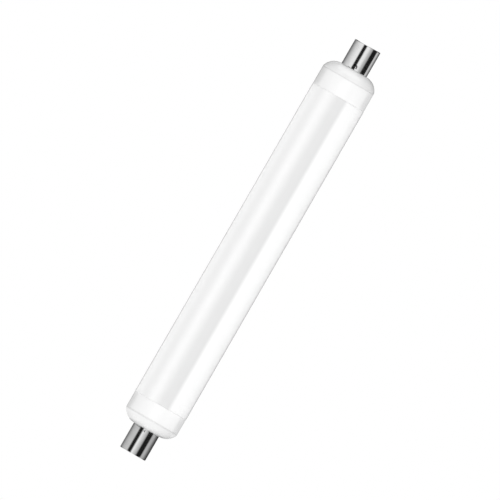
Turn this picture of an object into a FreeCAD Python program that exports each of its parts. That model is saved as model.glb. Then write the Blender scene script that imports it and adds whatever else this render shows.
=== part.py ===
import FreeCAD, Part
import math
import os

# A double-ended tubular lamp. A sealed opal tube carries a moulded collar with a
# domed shoulder at each end, and each collar carries a drawn metal contact cap.
# The lamp stands on its lower cap: +Z runs up the lamp, and the origin is the
# middle of the lower cap's end face. Angles round the lamp start at its front,
# -Y, and grow towards +X. Sizes are in millimetres and degrees.

# Whole lamp
overall_length = 310.0

# Opal tube, one sealed solid
tube_diameter = 38.7
tube_wall = 1.6
tube_edge_rounding = 0.3

# Collars, the same at both ends apart from the sleeve's length and the dome's crease
collar_inset = 0.1    # how far the collar's side stands back from the tube's
collar_wall = 1.7
collar_edge_rounding = 0.15
upper_collar_length = 20.5
lower_collar_length = 18.3
land_width = 0.1
upper_crease_angle = 15.5
lower_crease_angle = 22.0
groove_width = 0.5
groove_depth = 0.25
spigot_length = 6.0
spigot_wall = 1.5
spigot_end_rounding = 0.5
neck_length = 6.0
neck_wall = 1.6
neck_end_rounding = 0.5

# Contact caps, drawn from sheet
cap_diameter = 19.0
cap_length = 18.4
cap_sheet = 0.4
cap_inside_bend = 0.15
cap_rim_rounding = 0.12
dish_diameter = 8.0
dish_depth = 1.0
dish_slope = 45.0
dish_bend = 0.25
lead_hole_diameter = 1.6

# Crimps that stake each cap to its collar's neck
crimp_count = 4
crimp_tool_radius = 1.4
crimp_tool_length = 1.0
upper_crimp_depth = 0.4
upper_crimp_height = 2.2
upper_crimp_turn = 2.0
lower_crimp_depth = 0.16
lower_crimp_height = 1.5
lower_crimp_turn = -5.4

# Solder points that join the lead wires to the caps
solder_diameter = 4.2
solder_height = 0.65
solder_tail = 0.5

# Clearances
cap_on_neck = 0.05
spigot_in_tube = 0.1
spigot_to_socket_floor = 0.5
crimp_in_neck = 0.03

# Sizes that follow from those above
tube_radius = tube_diameter / 2
tube_bore = tube_radius - tube_wall
collar_radius = tube_radius - collar_inset
cap_radius = cap_diameter / 2
cap_bore = cap_radius - cap_sheet
land_radius = cap_radius + land_width
upper_land = overall_length - cap_length
lower_land = cap_length
tube_top = upper_land - upper_collar_length
tube_bottom = lower_land + lower_collar_length


def spot(corner):
    """Point of a half section, given as (radius, height)."""
    return FreeCAD.Vector(corner[0], 0, corner[1])


def on_circle(centre, radius, angle):
    """Corner on a circle of the half section, at an angle above the outward direction."""
    turn = math.radians(angle)
    return centre[0] + radius * math.cos(turn), centre[1] + radius * math.sin(turn)


def arc_step(centre, radius, start_angle, end_angle):
    """Step of a half section along a circle: the corner it passes through and its end."""
    middle = on_circle(centre, radius, (start_angle + end_angle) / 2)
    return middle, on_circle(centre, radius, end_angle)


def rounding(before, corner, after, radius):
    """Start, middle and end of the arc that rounds a corner."""
    back = (spot(before) - spot(corner)).normalize()
    onward = (spot(after) - spot(corner)).normalize()
    inward = (back + onward).normalize()
    half_angle = back.getAngle(onward) / 2
    setback = radius / math.tan(half_angle)
    centre = spot(corner) + inward * (radius / math.sin(half_angle))
    return spot(corner) + back * setback, centre - inward * radius, spot(corner) + onward * setback


def turned(*steps):
    """Solid turned about Z from the steps round its half section.

    A step is a corner (radius, height), a corner to round (radius, height, rounding),
    or an arc from the last corner (through, end). No arc stands next to a rounding.
    """
    ends = [step[1] if isinstance(step[0], tuple) else step[:2] for step in steps]
    edges = []
    here = spot(ends[0])
    for index, step in enumerate(steps[1:], start=1):
        if isinstance(step[0], tuple):
            there = spot(step[1])
            edges.append(Part.Arc(here, spot(step[0]), there).toShape())
        elif len(step) == 3:
            after = ends[(index + 1) % len(ends)]
            start, middle, there = rounding(ends[index - 1], step[:2], after, step[2])
            edges.append(Part.LineSegment(here, start).toShape())
            edges.append(Part.Arc(start, middle, there).toShape())
        else:
            there = spot(step)
            edges.append(Part.LineSegment(here, there).toShape())
        here = there
    edges.append(Part.LineSegment(here, spot(ends[0])).toShape())
    section = Part.Face(Part.Wire(edges))
    return section.revolve(FreeCAD.Vector(0, 0, 0), FreeCAD.Vector(0, 0, 1), 360)


def opal_tube():
    """The envelope with what it hides, a socket in each end for a collar's spigot."""
    socket_depth = spigot_length + spigot_to_socket_floor
    return turned(
        (0, tube_bottom + socket_depth),
        (tube_bore, tube_bottom + socket_depth),
        (tube_bore, tube_bottom),
        (tube_radius, tube_bottom, tube_edge_rounding),
        (tube_radius, tube_top, tube_edge_rounding),
        (tube_bore, tube_top),
        (tube_bore, tube_top - socket_depth),
        (0, tube_top - socket_depth),
    )


def crimp_tool(grown_by):
    """The round-ended tool that presses a crimp, upright, grown all round."""
    radius = crimp_tool_radius + grown_by
    half_length = crimp_tool_length / 2
    return turned(
        (0, -half_length - radius),
        arc_step((0, -half_length), radius, -90, 0),
        (radius, half_length),
        arc_step((0, half_length), radius, 0, 90),
    )


def crimp_tools(depth, height, turn, grown_by):
    """One tool at each crimp of a cap, as deep as it was pressed."""
    reach = cap_radius - depth + crimp_tool_radius
    tools = []
    for index in range(crimp_count):
        angle = turn + index * 360 / crimp_count
        tool = crimp_tool(grown_by)
        tool.translate(FreeCAD.Vector(0, -reach, height))
        tool.rotate(FreeCAD.Vector(0, 0, 0), FreeCAD.Vector(0, 0, 1), angle)
        tools.append(tool)
    return Part.makeCompound(tools)


def collar(length, crease_angle, crimp_depth, crimp_height, crimp_turn):
    """Collar with its land at height 0, its neck above and its sleeve and spigot below."""
    neck_radius = cap_bore - cap_on_neck
    neck_bore = neck_radius - neck_wall
    spigot_radius = tube_bore - spigot_in_tube
    spigot_bore = spigot_radius - spigot_wall
    sleeve_bore = collar_radius - collar_wall
    dome_radius = (collar_radius - land_radius) / math.cos(math.radians(crease_angle))
    dome_height = dome_radius * (1 - math.sin(math.radians(crease_angle)))
    dome_centre = (land_radius, -dome_radius)
    inner_dome_radius = dome_radius - collar_wall
    inner_dome_foot = math.degrees(math.acos((sleeve_bore - land_radius) / inner_dome_radius))
    cone_foot = collar_wall - length
    cone_top = cone_foot + sleeve_bore - spigot_bore
    body = turned(
        (neck_bore, neck_length),
        (neck_radius, neck_length, neck_end_rounding),
        (neck_radius, 0),
        (land_radius, 0),
        arc_step(dome_centre, dome_radius, 90, crease_angle),
        (collar_radius - groove_depth, -dome_height - groove_width / 2),
        (collar_radius, -dome_height - groove_width),
        (collar_radius, -length, collar_edge_rounding),
        (spigot_radius, -length),
        (spigot_radius, -length - spigot_length, spigot_end_rounding),
        (spigot_bore, -length - spigot_length),
        (spigot_bore, cone_foot),
        (sleeve_bore, cone_top),
        on_circle(dome_centre, inner_dome_radius, inner_dome_foot),
        arc_step(dome_centre, inner_dome_radius, inner_dome_foot, 90),
        (neck_bore, -collar_wall),
    )
    neck = Part.makeCylinder(neck_radius, neck_length)
    tools = crimp_tools(crimp_depth, crimp_height, crimp_turn, cap_sheet + crimp_in_neck)
    return body.cut(tools.common(neck))


def contact_cap(crimp_depth, crimp_height, crimp_turn):
    """Cap with its open rim at height 0 and its dished end above."""
    floor_top = cap_length - dish_depth
    dish_radius = dish_diameter / 2
    floor_radius = dish_radius - dish_depth / math.tan(math.radians(dish_slope))
    under_shift = cap_sheet * math.tan(math.radians(dish_slope / 2))
    lead_hole_radius = lead_hole_diameter / 2
    cup = turned(
        (cap_bore, 0),
        (cap_radius, 0, cap_rim_rounding),
        (cap_radius, cap_length, cap_inside_bend + cap_sheet),
        (dish_radius, cap_length, dish_bend + cap_sheet),
        (floor_radius, floor_top, dish_bend),
        (lead_hole_radius, floor_top),
        (lead_hole_radius, floor_top - cap_sheet),
        (floor_radius + under_shift, floor_top - cap_sheet, dish_bend + cap_sheet),
        (dish_radius + under_shift, cap_length - cap_sheet, dish_bend),
        (cap_bore, cap_length - cap_sheet, cap_inside_bend),
    )
    inside = Part.makeCylinder(cap_bore, cap_length)
    bulges = crimp_tools(crimp_depth, crimp_height, crimp_turn, cap_sheet).common(inside)
    dents = crimp_tools(crimp_depth, crimp_height, crimp_turn, 0)
    return cup.fuse(bulges).cut(dents)


def solder_point():
    """Solder on the floor of a cap's dish, with its tail down the lead hole."""
    floor_top = cap_length - dish_depth
    solder_radius = solder_diameter / 2
    lead_hole_radius = lead_hole_diameter / 2
    bead_radius = (solder_radius ** 2 + solder_height ** 2) / (2 * solder_height)
    bead_centre = (0, floor_top + solder_height - bead_radius)
    bead_foot = math.degrees(math.acos(solder_radius / bead_radius))
    return turned(
        (0, floor_top + solder_height),
        arc_step(bead_centre, bead_radius, 90, bead_foot),
        (lead_hole_radius, floor_top),
        (lead_hole_radius, floor_top - cap_sheet - solder_tail),
        (0, floor_top - cap_sheet - solder_tail),
    )


def at_upper_end(shape):
    """Move a piece of an end, with its land at height 0, to the lamp's upper end."""
    shape.translate(FreeCAD.Vector(0, 0, upper_land))
    return shape


def at_lower_end(shape):
    """Turn a piece of an end upside down about Y and move it to the lamp's lower end."""
    shape.rotate(FreeCAD.Vector(0, 0, 0), FreeCAD.Vector(0, 1, 0), 180)
    shape.translate(FreeCAD.Vector(0, 0, lower_land))
    return shape


def write_parts():
    """Write every piece of the lamp to its own file."""
    upper_crimps = (upper_crimp_depth, upper_crimp_height, upper_crimp_turn)
    # Turning a cap over about Y swaps its left and right.
    lower_crimps = (lower_crimp_depth, lower_crimp_height, -lower_crimp_turn)
    upper_collar = collar(upper_collar_length, upper_crease_angle, *upper_crimps)
    lower_collar = collar(lower_collar_length, lower_crease_angle, *lower_crimps)
    pieces = {
        "opal_tube": opal_tube(),
        "upper_collar": at_upper_end(upper_collar),
        "lower_collar": at_lower_end(lower_collar),
        "upper_contact_cap": at_upper_end(contact_cap(*upper_crimps)),
        "lower_contact_cap": at_lower_end(contact_cap(*lower_crimps)),
        "upper_solder_point": at_upper_end(solder_point()),
        "lower_solder_point": at_lower_end(solder_point()),
    }
    os.makedirs("parts", exist_ok=True)
    for name, shape in pieces.items():
        shape.exportStep(f"parts/{name}.step")


write_parts()
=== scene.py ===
import math

import bpy
from mathutils import Matrix, Vector


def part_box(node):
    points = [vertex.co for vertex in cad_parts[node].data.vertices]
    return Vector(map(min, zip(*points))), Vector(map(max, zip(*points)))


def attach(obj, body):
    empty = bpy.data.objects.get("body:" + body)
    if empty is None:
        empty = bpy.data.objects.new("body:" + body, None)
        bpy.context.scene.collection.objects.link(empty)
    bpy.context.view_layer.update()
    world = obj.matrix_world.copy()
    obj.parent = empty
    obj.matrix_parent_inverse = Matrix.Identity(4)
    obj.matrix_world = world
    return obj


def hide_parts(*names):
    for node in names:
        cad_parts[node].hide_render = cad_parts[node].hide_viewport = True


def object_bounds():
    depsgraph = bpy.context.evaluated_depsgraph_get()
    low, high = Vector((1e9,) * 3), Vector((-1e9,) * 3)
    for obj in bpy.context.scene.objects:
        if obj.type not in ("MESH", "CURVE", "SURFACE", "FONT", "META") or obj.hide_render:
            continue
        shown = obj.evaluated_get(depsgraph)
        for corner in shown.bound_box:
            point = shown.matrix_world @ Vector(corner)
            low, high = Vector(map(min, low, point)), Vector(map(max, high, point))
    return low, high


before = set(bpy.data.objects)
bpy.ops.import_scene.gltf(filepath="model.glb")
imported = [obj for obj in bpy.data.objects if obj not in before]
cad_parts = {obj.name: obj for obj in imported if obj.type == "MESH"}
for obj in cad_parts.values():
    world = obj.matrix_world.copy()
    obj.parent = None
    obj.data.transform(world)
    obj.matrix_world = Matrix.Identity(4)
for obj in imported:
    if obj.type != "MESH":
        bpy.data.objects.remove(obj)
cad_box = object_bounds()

# Opal tube
# A sealed tube of extruded opal plastic with a smooth glossy skin. Light soaks into its wall
# and spreads. Long straight bands of painted shade, for the strip that it hides, darken its colour.
OPAL_WHITE = (0.92, 0.92, 0.92, 1)
OPAL_PAINTED_SHADE = (0.745, 0.745, 0.745, 1)
OPAL_SCATTER_SHARE = 0.4
OPAL_SCATTER_M = 0.0015
OPAL_SCATTER_BY_COLOUR = (1, 1, 1)
OPAL_GRAIN = {"Across": 300, "Along": 40, "Roughness": 0.22, "Variation": 0.06}
OPAL_GRAIN_RELIEF_M = 0.00001
GRAIN_DETAIL = 4
# A painted shade band's edges and softness are turns in degrees from the front,
# growing to the viewer's right.
MAIN_SHADE_BAND = {"Left_Edge": -10.5, "Right_Edge": 19, "Left_Softness": 26, "Right_Softness": 10}
SIDE_SHADE_BAND = {"Left_Edge": -50, "Right_Edge": -32, "Left_Softness": 14, "Right_Softness": 16}
SIDE_SHADE_DEPTH = 0.22


def new_group(name, inputs, outputs):
    """Empty node group of float sockets. Returns it, what it is given and what it puts out."""
    group = bpy.data.node_groups.new(name, "ShaderNodeTree")
    for label, value in inputs.items():
        socket = group.interface.new_socket(label, in_out="INPUT", socket_type="NodeSocketFloat")
        socket.default_value = value
    for label in outputs:
        group.interface.new_socket(label, in_out="OUTPUT", socket_type="NodeSocketFloat")
    given = group.nodes.new("NodeGroupInput").outputs
    result = group.nodes.new("NodeGroupOutput").inputs
    return group, given, result


def connect(tree, value, socket):
    """Give an input a number, or link it to another node's output."""
    if isinstance(value, bpy.types.NodeSocket):
        tree.links.new(value, socket)
    else:
        socket.default_value = value


def add_math(tree, operation, *values):
    """Math node whose inputs are numbers or sockets. Returns its output socket."""
    node = tree.nodes.new("ShaderNodeMath")
    node.operation = operation
    for socket, value in zip(node.inputs, values):
        connect(tree, value, socket)
    return node.outputs["Value"]


def soft_step(tree, value, edge, softness):
    """Mask that rises smoothly from 0 to 1 round an edge, over the softness."""
    half = add_math(tree, "MULTIPLY", softness, 0.5)
    node = tree.nodes.new("ShaderNodeMapRange")
    node.interpolation_type = "SMOOTHSTEP"
    connect(tree, value, node.inputs["Value"])
    connect(tree, add_math(tree, "SUBTRACT", edge, half), node.inputs["From Min"])
    connect(tree, add_math(tree, "ADD", edge, half), node.inputs["From Max"])
    return node.outputs["Result"]


def object_place(tree):
    """X, Y and Z sockets of the place on the object, in metres in the lamp's frame."""
    place = tree.nodes.new("ShaderNodeTexCoord").outputs["Object"]
    split = tree.nodes.new("ShaderNodeSeparateXYZ")
    tree.links.new(place, split.inputs["Vector"])
    return split.outputs["X"], split.outputs["Y"], split.outputs["Z"]


def turn_from_front(tree):
    """Turn round the lamp's axis from its front, in degrees, growing towards +X."""
    x, y, _ = object_place(tree)
    return add_math(tree, "DEGREES", add_math(tree, "ARCTAN2", x, add_math(tree, "MULTIPLY", y, -1)))


def make_lengthwise_band():
    """Mask of a band that runs along the lamp between two turns, each edge with its softness."""
    inputs = {"Left Edge": -10, "Right Edge": 10, "Left Softness": 5, "Right Softness": 5}
    group, given, result = new_group("lengthwise_band", inputs, ["Mask"])
    turn = turn_from_front(group)
    past_left = soft_step(group, turn, given["Left Edge"], given["Left Softness"])
    past_right = soft_step(group, turn, given["Right Edge"], given["Right Softness"])
    group.links.new(add_math(group, "SUBTRACT", past_left, past_right), result["Mask"])
    return group


def make_fine_grain():
    """Fine unevenness of a surface, with so many grains a metre across and along the lamp."""
    inputs = {"Across": 900, "Along": 900, "Roughness": 0.3, "Variation": 0.05}
    group, given, result = new_group("fine_grain", inputs, ["Roughness", "Height"])
    stretched = group.nodes.new("ShaderNodeCombineXYZ")
    scales = (given["Across"], given["Across"], given["Along"])
    for place, scale, socket in zip(object_place(group), scales, stretched.inputs):
        group.links.new(add_math(group, "MULTIPLY", place, scale), socket)
    noise = group.nodes.new("ShaderNodeTexNoise")
    noise.inputs["Scale"].default_value = 1
    noise.inputs["Detail"].default_value = GRAIN_DETAIL
    group.links.new(stretched.outputs["Vector"], noise.inputs["Vector"])
    centred = add_math(group, "SUBTRACT", noise.outputs["Fac"], 0.5)
    swing = add_math(group, "MULTIPLY", centred, given["Variation"])
    group.links.new(add_math(group, "ADD", given["Roughness"], swing), result["Roughness"])
    group.links.new(noise.outputs["Fac"], result["Height"])
    return group


lengthwise_band = make_lengthwise_band()
fine_grain = make_fine_grain()


def new_material(name):
    """Material with its node tree and its Principled BSDF."""
    material = bpy.data.materials.new(name)
    material.use_nodes = True
    tree = material.node_tree
    return material, tree, tree.nodes["Principled BSDF"]


def use_group(tree, group, **values):
    """Group node with its inputs set by name, underscores for spaces."""
    node = tree.nodes.new("ShaderNodeGroup")
    node.node_tree = group
    for label, value in values.items():
        node.inputs[label.replace("_", " ")].default_value = value
    return node


def mix_colour(tree, mask, first, second):
    """Colour that goes from first to second with the mask."""
    node = tree.nodes.new("ShaderNodeMix")
    node.data_type = "RGBA"
    tree.links.new(mask, node.inputs["Factor"])
    connect(tree, first, node.inputs["A"])
    connect(tree, second, node.inputs["B"])
    return node.outputs["Result"]


def give_grain(tree, shader, values, relief_m):
    """Let the fine grain vary a shader's roughness and stand in low relief on the surface."""
    grain = use_group(tree, fine_grain, **values)
    tree.links.new(grain.outputs["Roughness"], shader.inputs["Roughness"])
    bump = tree.nodes.new("ShaderNodeBump")
    bump.inputs["Distance"].default_value = relief_m
    tree.links.new(grain.outputs["Height"], bump.inputs["Height"])
    tree.links.new(bump.outputs["Normal"], shader.inputs["Normal"])


def dress(node, material):
    """Put a material on a piece of the frame."""
    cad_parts[node].material_slots[0].material = material


opal_plastic, tree, shader = new_material("opal_plastic")
# Painted shade: two long bands down the tube's front darken its colour.
main_shade_band = use_group(tree, lengthwise_band, **MAIN_SHADE_BAND).outputs["Mask"]
side_shade_band = use_group(tree, lengthwise_band, **SIDE_SHADE_BAND).outputs["Mask"]
shade = add_math(tree, "MAXIMUM", main_shade_band, add_math(tree, "MULTIPLY", side_shade_band, SIDE_SHADE_DEPTH))
tree.links.new(mix_colour(tree, shade, OPAL_WHITE, OPAL_PAINTED_SHADE), shader.inputs["Base Color"])
give_grain(tree, shader, OPAL_GRAIN, OPAL_GRAIN_RELIEF_M)
shader.inputs["Subsurface Weight"].default_value = OPAL_SCATTER_SHARE
shader.inputs["Subsurface Radius"].default_value = OPAL_SCATTER_BY_COLOUR
shader.inputs["Subsurface Scale"].default_value = OPAL_SCATTER_M
dress("opal_tube", opal_plastic)

# Collars
# White moulded plastic pushed into the tube's ends. Each has a smooth side, a fine groove where
# the side meets the dome, along which shade is painted in grey, and a flat land on which the
# cap's rim sits.
COLLAR_WHITE = (0.885, 0.885, 0.885, 1)
COLLAR_GLOSS = 1.0
COLLAR_GRAIN = {"Across": 900, "Along": 900, "Roughness": 0.18, "Variation": 0.06}
COLLAR_GRAIN_RELIEF_M = 0.00002
# Painted shade along each groove, in a wider band at the lower end.
GROOVE_PAINTED_SHADE = (0.80, 0.80, 0.80, 1)
GROOVE_FROM_RIM_M = {"upper": 0.00759, "lower": 0.00676}
GROOVE_SHADE_BANDS = {
    "upper": {"Half_Width": 0.0004, "Softness": 0.0007},
    "lower": {"Half_Width": 0.0006, "Softness": 0.0009},
}

outward = {"upper": 1, "lower": -1}
cap_rims = {"upper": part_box("upper_contact_cap")[0].z, "lower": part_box("lower_contact_cap")[1].z}
grooves = {end: cap_rims[end] - outward[end] * GROOVE_FROM_RIM_M[end] for end in outward}


def make_ring_band():
    """Mask of a band round the lamp, in metres, fading over the softness on both sides."""
    inputs = {"Height": 0, "Half Width": 0.001, "Softness": 0.001}
    group, given, result = new_group("ring_band", inputs, ["Mask"])
    _, _, z = object_place(group)
    away = add_math(group, "ABSOLUTE", add_math(group, "SUBTRACT", z, given["Height"]))
    outside = soft_step(group, away, given["Half Width"], given["Softness"])
    group.links.new(add_math(group, "SUBTRACT", 1, outside), result["Mask"])
    return group


ring_band = make_ring_band()

collar_plastic, tree, shader = new_material("collar_plastic")
# Painted shade: the colour turns grey in a band along each groove.
groove_shade_masks = [use_group(tree, ring_band, Height=grooves[end], **GROOVE_SHADE_BANDS[end]).outputs["Mask"]
                for end in outward]
painted_groove_shade = add_math(tree, "MAXIMUM", *groove_shade_masks)
tree.links.new(mix_colour(tree, painted_groove_shade, COLLAR_WHITE, GROOVE_PAINTED_SHADE), shader.inputs["Base Color"])
give_grain(tree, shader, COLLAR_GRAIN, COLLAR_GRAIN_RELIEF_M)
shader.inputs["Specular IOR Level"].default_value = COLLAR_GLOSS
for end in outward:
    dress(f"{end}_collar", collar_plastic)

# Contact caps
# Brass sheet drawn into a cup, nickel plated and bright, with faint lines along it from the
# drawing. Four punched crimps hold it to the neck, each with a dark crescent of painted shade,
# and painted shade darkens the rim in patches and bands where it meets the collar.
NICKEL = (0.86, 0.86, 0.86, 1)
NICKEL_WORN = (0.80, 0.80, 0.80, 1)
# Painted shade: a dark grey for the rim where it meets the collar, and a near black for the crescent at
# each crimp.
NICKEL_RIM_SHADE = (0.35, 0.35, 0.35, 1)
CRIMP_SHADE_GREY = (0.09, 0.09, 0.09, 1)
NICKEL_GRAIN = {"Across": 900, "Along": 60, "Roughness": 0.12, "Variation": 0.06}
NICKEL_GRAIN_RELIEF_M = 0.0000005
PATCH_DETAIL = 2
WEAR = {"Scale": 330, "Share": 0.5, "Softness": 0.5}
# Painted shade at the rim: its band, patches, distance from the rim and stretch of turns.
RIM_SHADE_BAND = {"Half_Width": 0.0004, "Softness": 0.0008}
RIM_SHADE_PATCHES = {"Scale": 420, "Share": 0.35, "Softness": 0.2}
RIM_SHADE_FROM_RIM_M = {"upper": 0, "lower": 0.0006}
RIM_SHADE_SPANS = {
    "upper": {"Left_Edge": -32, "Right_Edge": -25, "Left_Softness": 4, "Right_Softness": 4},
    "lower": {"Left_Edge": -40, "Right_Edge": -25, "Left_Softness": 20, "Right_Softness": 4},
}
FULL_TURN = 360
CRIMPS = 4
# A crescent of painted shade at the crimps. Its turn is in degrees, its radius and the moves
# that cut it are in metres.
CRIMP_SHADE_FROM_RIM_M = {"upper": 0.0021, "lower": 0.0015}
CRIMP_SHADES = {
    "upper": {"Turn": -4, "Radius": 0.0017, "Across": -0.0004, "Along": -0.0010},
    "lower": {"Turn": -5.4, "Radius": 0.0006, "Across": -0.002, "Along": 0},
}
CRIMP_SHADE_SOFTNESS_M = 0.0004
CRIMP_SHADE_STRENGTH = {"upper": 1.0, "lower": 0.4}

cap_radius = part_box("upper_contact_cap")[1].x


def make_patches():
    """Mask of soft-edged patches that cover about a share of the surface."""
    inputs = {"Scale": 200, "Share": 0.5, "Softness": 0.1}
    group, given, result = new_group("patches", inputs, ["Mask"])
    noise = group.nodes.new("ShaderNodeTexNoise")
    noise.inputs["Detail"].default_value = PATCH_DETAIL
    place = group.nodes.new("ShaderNodeTexCoord").outputs["Object"]
    group.links.new(place, noise.inputs["Vector"])
    group.links.new(given["Scale"], noise.inputs["Scale"])
    edge = add_math(group, "SUBTRACT", 1, given["Share"])
    group.links.new(soft_step(group, noise.outputs["Fac"], edge, given["Softness"]), result["Mask"])
    return group


def in_circle(tree, across, along, radius, softness):
    """Mask of a circle on the surface, given how far the place is from its middle."""
    square = add_math(tree, "ADD", add_math(tree, "POWER", across, 2), add_math(tree, "POWER", along, 2))
    outside = soft_step(tree, add_math(tree, "SQRT", square), radius, softness)
    return add_math(tree, "SUBTRACT", 1, outside)


def make_crimp_shade():
    """Painted shade crescent at each crimp: a circle less the same circle moved across and along."""
    inputs = {"Turn": 0, "Height": 0, "Radius": 0.001, "Across": 0.001, "Along": 0.001,
              "Softness": CRIMP_SHADE_SOFTNESS_M, "Cap Radius": cap_radius}
    group, given, result = new_group("crimp_shade", inputs, ["Mask"])
    _, _, z = object_place(group)
    from_crimp = add_math(group, "SUBTRACT", turn_from_front(group), given["Turn"])
    half_way = FULL_TURN / CRIMPS / 2
    nearest = add_math(group, "WRAP", from_crimp, half_way, -half_way)
    across = add_math(group, "MULTIPLY", add_math(group, "RADIANS", nearest), given["Cap Radius"])
    along = add_math(group, "SUBTRACT", z, given["Height"])
    circle = in_circle(group, across, along, given["Radius"], given["Softness"])
    moved_across = add_math(group, "SUBTRACT", across, given["Across"])
    moved_along = add_math(group, "SUBTRACT", along, given["Along"])
    moved = in_circle(group, moved_across, moved_along, given["Radius"], given["Softness"])
    crescent = add_math(group, "MULTIPLY", circle, add_math(group, "SUBTRACT", 1, moved))
    group.links.new(crescent, result["Mask"])
    return group


patches = make_patches()
crimp_shade = make_crimp_shade()

nickel_plate, tree, shader = new_material("nickel_plate")
worn = use_group(tree, patches, **WEAR).outputs["Mask"]
colour = mix_colour(tree, worn, NICKEL, NICKEL_WORN)
# Painted shade along each cap's rim, in patches and in a stretch of turns.
rim_shade_patches = use_group(tree, patches, **RIM_SHADE_PATCHES).outputs["Mask"]
for end in outward:
    height = cap_rims[end] + outward[end] * RIM_SHADE_FROM_RIM_M[end]
    at_rim = use_group(tree, ring_band, Height=height, **RIM_SHADE_BAND).outputs["Mask"]
    rim_shade_span = use_group(tree, lengthwise_band, **RIM_SHADE_SPANS[end]).outputs["Mask"]
    painted_rim_shade = add_math(tree, "MULTIPLY", at_rim, add_math(tree, "MAXIMUM", rim_shade_span, rim_shade_patches))
    colour = mix_colour(tree, painted_rim_shade, colour, NICKEL_RIM_SHADE)
    # Painted shade: a dark crescent at each crimp.
    height = cap_rims[end] + outward[end] * CRIMP_SHADE_FROM_RIM_M[end]
    crimp_shade_mask = use_group(tree, crimp_shade, Height=height, **CRIMP_SHADES[end]).outputs["Mask"]
    painted_crimp_shade = add_math(tree, "MULTIPLY", crimp_shade_mask, CRIMP_SHADE_STRENGTH[end])
    colour = mix_colour(tree, painted_crimp_shade, colour, CRIMP_SHADE_GREY)
tree.links.new(colour, shader.inputs["Base Color"])
shader.inputs["Metallic"].default_value = 1.0
give_grain(tree, shader, NICKEL_GRAIN, NICKEL_GRAIN_RELIEF_M)
for end in outward:
    dress(f"{end}_contact_cap", nickel_plate)

# Solder points
# A blob of tin solder in the dish of each cap's end, run flat round its foot, with a low tip
# where the iron left it. Its tail fills the lead hole.
TIN = (0.62, 0.62, 0.63, 1)
TIN_GRAIN = {"Across": 1500, "Along": 1500, "Roughness": 0.34, "Variation": 0.2}
TIN_GRAIN_RELIEF_M = 0.00003
SOLDER_HEIGHT_M = 0.00065
SOLDER_SLUMP = 1.3
SOLDER_TIP_OFFSET_M = 0.0002
# How many times a lump comes round the blob, and its depth as a share of the radius.
SOLDER_LUMPS = ((3, 0.03), (5, 0.02))
LEAD_HOLE_RADIUS_M = 0.0008
SOLDER_RINGS = 14
SOLDER_STEPS = 48


def on_circle(radius, turn, height):
    """Place on a circle round the lamp's axis, at a turn from its front."""
    return Vector((radius * math.sin(turn), -radius * math.cos(turn), height))


def solder_corner(share, turn, foot_radius):
    """Corner of the blob: share is 0 at its tip and 1 at its foot."""
    lumps = sum(depth * math.sin(count * turn + count) for count, depth in SOLDER_LUMPS)
    radius = foot_radius * share * (1 - sum(depth for _, depth in SOLDER_LUMPS) + lumps)
    height = SOLDER_HEIGHT_M * (1 + math.cos(math.pi * share ** SOLDER_SLUMP)) / 2
    return on_circle(radius, turn, height) + Vector((SOLDER_TIP_OFFSET_M * (1 - share), 0, 0))


def add_to_scene(name, data):
    """New object in the scene, with its mesh, camera or light."""
    added = bpy.data.objects.new(name, data)
    bpy.context.scene.collection.objects.link(added)
    return added


def solder_blob(end):
    """Closed mesh of the blob and its tail, on the floor of the dish."""
    low_corner, high_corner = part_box(f"{end}_solder_point")
    foot = high_corner.z - SOLDER_HEIGHT_M if end == "upper" else low_corner.z + SOLDER_HEIGHT_M
    tail = high_corner.z - low_corner.z - SOLDER_HEIGHT_M
    turns = [2 * math.pi * index / SOLDER_STEPS for index in range(SOLDER_STEPS)]
    rings = [[solder_corner(ring / SOLDER_RINGS, turn, high_corner.x) for turn in turns]
             for ring in range(1, SOLDER_RINGS + 1)]
    rings += [[on_circle(LEAD_HOLE_RADIUS_M, turn, height) for turn in turns] for height in (0, -tail)]
    corners = [corner for ring in rings for corner in ring]
    last = len(corners) - SOLDER_STEPS
    tip, tail_end = len(corners), len(corners) + 1
    corners += [solder_corner(0, 0, high_corner.x), Vector((0, 0, -tail))]
    faces = []
    for here in range(SOLDER_STEPS):
        after = (here + 1) % SOLDER_STEPS
        faces.append((tip, here, after))
        faces.append((tail_end, last + after, last + here))
        for ring in range(len(rings) - 1):
            inner, outer = ring * SOLDER_STEPS, (ring + 1) * SOLDER_STEPS
            faces.append((inner + here, outer + here, outer + after, inner + after))
    placed = [Vector((corner.x, corner.y, foot + outward[end] * corner.z)) for corner in corners]
    mesh = bpy.data.meshes.new(f"{end}_solder_blob")
    mesh.from_pydata(placed, [], faces)
    if end == "lower":
        mesh.flip_normals()
    mesh.shade_smooth()
    return add_to_scene(f"{end}_solder_blob", mesh)


tin_solder, tree, shader = new_material("tin_solder")
shader.inputs["Base Color"].default_value = TIN
shader.inputs["Metallic"].default_value = 1.0
give_grain(tree, shader, TIN_GRAIN, TIN_GRAIN_RELIEF_M)
for end in outward:
    blob = solder_blob(end)
    blob.data.materials.append(tin_solder)
    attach(blob, "root")
    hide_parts(f"{end}_solder_point")

# Camera
# It looks square at the lamp's front, without perspective, and it is rolled, so that the lamp
# leans to the right. The lamp's length in the picture sets the scale.
LAMP_LENGTH_PIXELS = 471.0
PICTURE_PIXELS = 500
LAMP_RIGHT_OF_MIDDLE_PIXELS = 0.3
LAMP_ABOVE_MIDDLE_PIXELS = 0.15
LEAN = math.radians(30)
CAMERA_DISTANCE_M = 1.0

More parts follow.
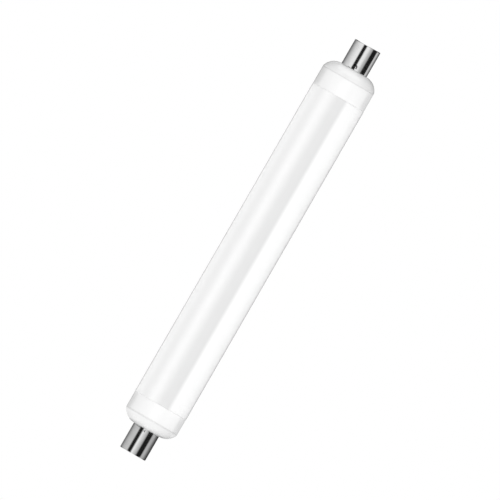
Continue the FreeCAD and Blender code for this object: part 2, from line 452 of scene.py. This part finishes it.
low, high = cad_box
lamp_middle = (low + high) / 2
metres_per_pixel = (high.z - low.z) / LAMP_LENGTH_PIXELS
camera_right = Vector((math.cos(LEAN), 0, math.sin(LEAN)))
camera_up = Vector((-math.sin(LEAN), 0, math.cos(LEAN)))
camera_back = Vector((0, -1, 0))
picture_shift = camera_right * LAMP_RIGHT_OF_MIDDLE_PIXELS + camera_up * LAMP_ABOVE_MIDDLE_PIXELS
camera_data = bpy.data.cameras.new("camera")
camera_data.type = "ORTHO"
camera_data.ortho_scale = metres_per_pixel * PICTURE_PIXELS
camera = add_to_scene("camera", camera_data)
turned = Matrix((camera_right, camera_up, camera_back)).transposed().to_4x4()
place = lamp_middle - picture_shift * metres_per_pixel + camera_back * CAMERA_DISTANCE_M
camera.matrix_world = Matrix.Translation(place) @ turned
bpy.context.scene.camera = camera

# Studio light
# A white room that lights the lamp from all sides, with a broad soft light in front of it,
# behind it, above it and below it. The soft lights are neither seen nor mirrored.
ROOM_WHITE = (1, 1, 1, 1)
ROOM_LIGHT = 0.70
SOFT_LIGHT_SIDE_M = 1.2
SOFT_LIGHT_DISTANCE_M = 1.5
FRONT_AND_BACK_WATTS = 10.0
HIGH_WATTS = 2.8
LOW_WATTS = 5.5


def seen_by_viewer(tree):
    """1 for rays from the camera, a mirror surface or glass, and 0 for the light itself."""
    path = tree.nodes.new("ShaderNodeLightPath").outputs
    camera_or_glossy = add_math(tree, "MAXIMUM", path["Is Camera Ray"], path["Is Glossy Ray"])
    return add_math(tree, "MAXIMUM", camera_or_glossy, path["Is Transmission Ray"])


def soft_light(name, side, watts):
    """Square light on one side of the lamp's middle, which shines back at it."""
    data = bpy.data.lights.new(name, "AREA")
    data.size = SOFT_LIGHT_SIDE_M
    data.energy = watts
    light = add_to_scene(name, data)
    light.location = lamp_middle + Vector(side) * SOFT_LIGHT_DISTANCE_M
    light.rotation_euler = Vector(side).to_track_quat("Z", "Y").to_euler()
    light.visible_camera = False
    light.visible_glossy = False


room = bpy.data.worlds.new("white_room")
bpy.context.scene.world = room
room.use_nodes = True
tree = room.node_tree
background = tree.nodes["Background"]
background.inputs["Color"].default_value = ROOM_WHITE
fill = add_math(tree, "MULTIPLY", seen_by_viewer(tree), 1 - ROOM_LIGHT)
tree.links.new(add_math(tree, "ADD", fill, ROOM_LIGHT), background.inputs["Strength"])
soft_light("front_lamp", (0, -1, 0), FRONT_AND_BACK_WATTS)
soft_light("back_lamp", (0, 1, 0), FRONT_AND_BACK_WATTS)
soft_light("high_lamp", (0, 0, 1), HIGH_WATTS)
soft_light("low_lamp", (0, 0, -1), LOW_WATTS)

# Studio cards
# Glowing cloths all round the lamp, a hood and a lid over its upper end, and two mats under its
# lower end. Only shiny surfaces mirror them, which gives the caps their black stripes and the
# plastic its grey edges, and they throw no light or shadow.
CARD_STEPS = 96
TUBE_CLOTH_RADII = 3.0
CAP_CLOTH_RADII = {"upper": 12.0, "lower": 1.5}
CAP_MAT_HOLE_RADII = 0.5
FAR_CLOTH_BELOW_TUBE_END_M = 0.080
HOOD_ABOVE_LAMP_M = 0.010
LID_ABOVE_CAP_RIM_M = 0.062
MATS_BELOW_LAMP_M = 0.0001
BACK_LEVEL = 0.95
STRIP_BLACK = 0.012
STRIP_SOFTNESS = 10

# Pairs of a place across the piece as its front shows it, from -1 at the left edge to 1 at the
# right one, and the level of the cloth that is mirrored there. A strip lies between two places.
TUBE_LEVELS = ((-1.0, 0.0), (-0.985, 0.15), (-0.965, 1.4), (-0.92, 1.8), (-0.82, 1.6), (-0.70, 0.9),
               (-0.60, 0.0), (-0.50, 0.1), (-0.37, 0.95), (0.30, 0.95), (0.45, 2.0), (0.75, 2.6),
               (0.88, 1.3), (0.94, 1.2), (0.965, 0.8), (0.98, 0.1), (1.0, 0.0))
SLEEVE_LEVELS = {
    "upper": ((-1.0, 0.2), (-0.95, 0.25), (-0.83, 0.0), (-0.78, 0.95), (0.30, 1.0),
              (0.45, 1.4), (0.77, 1.4), (0.84, 0.3), (0.95, 0.55), (1.0, 0.5)),
    "lower": ((-1.0, 0.4), (-0.95, 0.4), (-0.88, 0.2), (-0.82, 0.95), (0.30, 1.0),
              (0.45, 1.4), (0.77, 1.4), (0.84, 0.3), (0.95, 0.55), (1.0, 0.5)),
}
DOME_LEVELS = {
    "upper": ((-1.0, 0.5), (-0.97, 0.05), (-0.8, 0.05), (-0.5, 0.4), (0.5, 0.4),
              (0.75, 0.05), (1.0, 0.0)),
    "lower": ((-1.0, 0.9), (-0.7, 0.9), (-0.3, 0.15), (0.5, 0.15), (0.75, 0.1), (0.9, 0.2),
              (0.95, 0.9), (0.98, 0.7), (1.0, 0.2)),
}
HOOD_STRIPS = ((-0.303, -0.02), (0.517, 0.842))
LID_LEVELS = ((-1.0, 1.0), (0.55, 1.0), (0.72, 0.2), (0.97, 0.1), (1.0, 0.6))
DOME_MAT_LEVELS = ((-1.0, 0.6), (-0.7, 0.8), (-0.3, 0.15), (0.5, 0.15), (0.75, 0.1), (1.0, 0.1))
CAP_LEVELS = {
    "upper": ((-1.0, 0.05), (-0.93, 0.20), (-0.85, 0.44), (-0.70, 0.70), (-0.45, 0.94),
              (0.16, 0.97), (0.30, 0.60), (0.50, 0.30), (0.80, 0.70), (0.87, 0.50),
              (0.93, 0.20), (1.0, 0.02)),
    "lower": ((-1.0, 0.05), (-0.93, 0.22), (-0.80, 0.50), (-0.65, 0.60), (-0.40, 0.62),
              (-0.12, 1.0), (0.0, 0.78), (0.18, 0.50), (0.60, 0.52), (0.72, 0.48),
              (0.85, 0.18), (0.93, 0.06), (1.0, 0.0)),
}
CAP_STRIPS = {
    "upper": ((-0.264, -0.017), (0.458, 0.777)),
    "lower": ((-0.445, -0.184), (0.23, 0.574)),
}


def grey(level):
    """Opaque grey of a level. Above 1 it glows brighter than white."""
    return (level, level, level, 1)


def round_card(name, first_edge, second_edge, material):
    """Card all round the lamp between two circles (radius, height), seen by mirrors only."""
    corners = []
    for index in range(CARD_STEPS):
        turn = 2 * math.pi * index / CARD_STEPS
        corners += [on_circle(radius, turn, height) for radius, height in (first_edge, second_edge)]
    count = len(corners)
    faces = [(corner, (corner + 2) % count, (corner + 3) % count, corner + 1)
             for corner in range(0, count, 2)]
    mesh = bpy.data.meshes.new(name)
    mesh.from_pydata(corners, [], faces)
    mesh.materials.append(material)
    card = add_to_scene(name, mesh)
    card.visible_camera = False
    card.visible_diffuse = False
    card.visible_transmission = False
    card.visible_shadow = False


def mirror_turn(across, piece_radius, cloth_radius):
    """Turn of the place on a cloth that a piece mirrors at a share of its radius from its middle."""
    return math.degrees(2 * math.asin(across) - math.asin(across * piece_radius / cloth_radius))


def shaded_cloth(name, piece_radius, cloth_radius, levels, black_strips=()):
    """Glowing material with the levels and strips that a piece is to mirror across its width."""
    cloth, tree, shader = new_material(name)
    tree.nodes.remove(shader)
    glow = tree.nodes.new("ShaderNodeEmission")
    tree.links.new(glow.outputs["Emission"], tree.nodes["Material Output"].inputs["Surface"])
    ramp = tree.nodes.new("ShaderNodeValToRGB")
    from_back = add_math(tree, "ADD", turn_from_front(tree), FULL_TURN / 2)
    share = add_math(tree, "DIVIDE", from_back, FULL_TURN)
    tree.links.new(share, ramp.inputs["Fac"])
    stops = ramp.color_ramp.elements
    stops[0].color = stops[1].color = grey(BACK_LEVEL)
    for across, level in levels:
        turn = mirror_turn(across, piece_radius, cloth_radius)
        stop = stops.new((turn + FULL_TURN / 2) / FULL_TURN)
        stop.color = grey(level)
    colour = ramp.outputs["Color"]
    for edges in black_strips:
        left, right = (mirror_turn(edge, piece_radius, cloth_radius) for edge in edges)
        strip = use_group(tree, lengthwise_band, Left_Edge=left, Right_Edge=right,
                          Left_Softness=STRIP_SOFTNESS, Right_Softness=STRIP_SOFTNESS)
        colour = mix_colour(tree, strip.outputs["Mask"], colour, grey(STRIP_BLACK))
    tree.links.new(colour, glow.inputs["Color"])
    return cloth


tube_low, tube_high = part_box("opal_tube")
tube_radius = tube_high.x
tube_ends = {"upper": tube_high.z, "lower": tube_low.z}
wide = tube_radius * TUBE_CLOTH_RADII
cloth = shaded_cloth("tube_cloth", tube_radius, wide, TUBE_LEVELS)
round_card("tube_cloth", (wide, tube_low.z), (wide, tube_high.z), cloth)
for end in outward:
    cloth = shaded_cloth(f"{end}_sleeve_cloth", tube_radius, wide, SLEEVE_LEVELS[end])
    round_card(f"{end}_sleeve_cloth", (wide, tube_ends[end]), (wide, grooves[end]), cloth)

far = cap_radius * CAP_CLOTH_RADII["upper"]
far_low = tube_high.z - FAR_CLOTH_BELOW_TUBE_END_M
hood_low = high.z + HOOD_ABOVE_LAMP_M
lid_height = cap_rims["upper"] + LID_ABOVE_CAP_RIM_M
cloth = shaded_cloth("upper_cap_cloth", cap_radius, far, CAP_LEVELS["upper"], CAP_STRIPS["upper"])
round_card("upper_cap_cloth", (far, far_low), (far, hood_low), cloth)
cloth = shaded_cloth("upper_dome_cloth", tube_radius, wide, DOME_LEVELS["upper"], HOOD_STRIPS)
round_card("hood", (far, hood_low), (wide, lid_height), cloth)
cloth = shaded_cloth("lid", tube_radius, wide, LID_LEVELS)
round_card("lid", (wide, lid_height), (cap_radius, lid_height), cloth)

near = cap_radius * CAP_CLOTH_RADII["lower"]
mat_hole = cap_radius * CAP_MAT_HOLE_RADII
mat_height = low.z - MATS_BELOW_LAMP_M
cloth = shaded_cloth("lower_dome_cloth", tube_radius, wide, DOME_LEVELS["lower"])
round_card("lower_dome_cloth", (wide, grooves["lower"]), (wide, mat_height), cloth)
cloth = shaded_cloth("dome_mat", tube_radius, wide, DOME_MAT_LEVELS)
round_card("dome_mat", (wide, mat_height), (near, mat_height), cloth)
cloth = shaded_cloth("lower_cap_cloth", cap_radius, near, CAP_LEVELS["lower"], CAP_STRIPS["lower"])
round_card("lower_cap_cloth", (near, cap_rims["lower"]), (near, mat_height), cloth)
# The bend of the cap's end stands so close over its mat that it mirrors what is right under it.
cloth = shaded_cloth("cap_mat", cap_radius, cap_radius, CAP_LEVELS["lower"], CAP_STRIPS["lower"])
round_card("cap_mat", (near, mat_height), (mat_hole, mat_height), cloth)

# Floor
# A plain white sheet just under the lamp's lower end, which takes the lamp's shadow. It throws
# neither shadow nor soft light on the lamp, and glows for viewers only, to look as white as
# the room.
FLOOR_WHITE = (0.9, 0.9, 0.9, 1)
FLOOR_GLOW = 0.33
FLOOR_SIDE_M = 6.0
FLOOR_BELOW_LAMP_M = 0.0002

half = FLOOR_SIDE_M / 2
mesh = bpy.data.meshes.new("floor")
mesh.from_pydata([(-half, -half, 0), (half, -half, 0), (half, half, 0), (-half, half, 0)], [],
                 [(0, 1, 2, 3)])
floor = add_to_scene("floor", mesh)
floor.location.z = low.z - FLOOR_BELOW_LAMP_M
floor.visible_shadow = False
floor.visible_diffuse = False
floor_paint, tree, shader = new_material("floor_paint")
shader.inputs["Base Color"].default_value = FLOOR_WHITE
shader.inputs["Roughness"].default_value = 1.0
shader.inputs["Specular IOR Level"].default_value = 0.0
shader.inputs["Emission Color"].default_value = ROOM_WHITE
glow = add_math(tree, "MULTIPLY", seen_by_viewer(tree), FLOOR_GLOW)
tree.links.new(glow, shader.inputs["Emission Strength"])
mesh.materials.append(floor_paint)

# Picture
# It shows the colours without a film look.
bpy.context.scene.view_settings.view_transform = "Standard"
